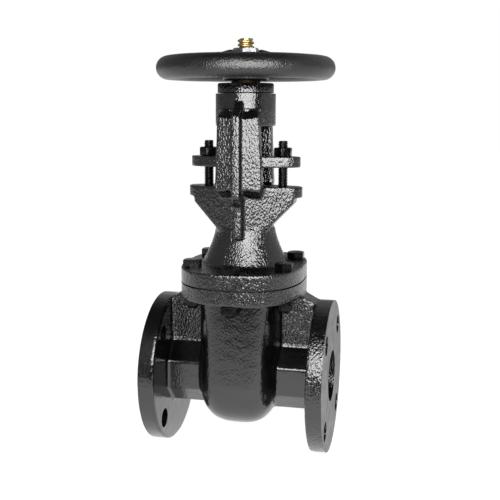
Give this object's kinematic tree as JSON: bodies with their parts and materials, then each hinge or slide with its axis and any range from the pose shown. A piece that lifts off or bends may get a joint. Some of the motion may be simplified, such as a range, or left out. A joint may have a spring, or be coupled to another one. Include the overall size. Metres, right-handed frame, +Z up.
{
  "type": "gate valve",
  "caption": "Flanged gate valve with outside screw and yoke: rising stem, wedge gate, bolted bonnet and handwheel.",
  "frame": {"origin": "the crossing of the pipe axis and the stem axis, at the centre of the waterway", "axes": "+X along the pipe from inlet to outlet, +Z up along the stem towards the handwheel, +Y towards the back yoke arm"},
  "size_m": [0.1778, 0.1732, 0.4062],
  "materials": {
    "enamelled_iron": "gloss black enamel over sand-cast iron",
    "black_steel": "blackened steel",
    "bright_steel": "zinc plated",
    "brass": "machined, bright",
    "bronze": "machined",
    "graphite_packing": "braided graphite yarn",
    "gasket_sheet": "compressed fibre sheet"
  },
  "bodies": {
    "valve_body": {"body": "enamelled_iron", "seat_ring_inlet": "bronze", "seat_ring_outlet": "bronze", "bonnet_yoke": "enamelled_iron", "bonnet_gasket": "gasket_sheet", "bonnet_bolt_1": "black_steel", "bonnet_nut_1": "black_steel", "bonnet_bolt_2": "black_steel", "bonnet_nut_2": "black_steel", "bonnet_bolt_3": "black_steel", "bonnet_nut_3": "black_steel", "bonnet_bolt_4": "black_steel", "bonnet_nut_4": "black_steel", "bonnet_bolt_5": "black_steel", "bonnet_nut_5": "black_steel", "bonnet_bolt_6": "black_steel", "bonnet_nut_6": "black_steel", "backseat_bushing": "bronze", "packing_ring_1": "graphite_packing", "packing_ring_2": "graphite_packing", "packing_ring_3": "graphite_packing", "packing_ring_4": "graphite_packing", "packing_ring_5": "graphite_packing", "gland_follower": "bronze", "gland_flange": "enamelled_iron", "gland_stud_left": "black_steel", "gland_nut_left": "black_steel", "gland_stud_right": "black_steel", "gland_nut_right": "black_steel", "thrust_washer_lower": "bronze", "thrust_washer_upper": "bronze", "yoke_cap": "enamelled_iron", "cap_screw": "black_steel"},
    "wheel": {"yoke_nut": "bronze", "handwheel": "enamelled_iron", "wheel_key": "black_steel", "wheel_nut": "bright_steel"},
    "stem": {"stem": "brass", "gate": "bronze", "gate_face_ring_inlet": "bronze", "gate_face_ring_outlet": "bronze"}
  },
  "joints": [
    {"name": "handwheel_turn", "type": "hinge", "parent": "valve_body", "child": "wheel", "pos_m": [0, 0, 0.302], "axis": [0, 0, 1], "range_deg": [0, 5220]},
    {"name": "stem_lift", "type": "slide", "parent": "valve_body", "child": "stem", "axis": [0, 0, 1], "range_m": [0, 0.058]}
  ],
  "couplings": [
    {"joint": "stem_lift", "follows": "handwheel_turn", "m_per_rad": 0.00063662}
  ]
}
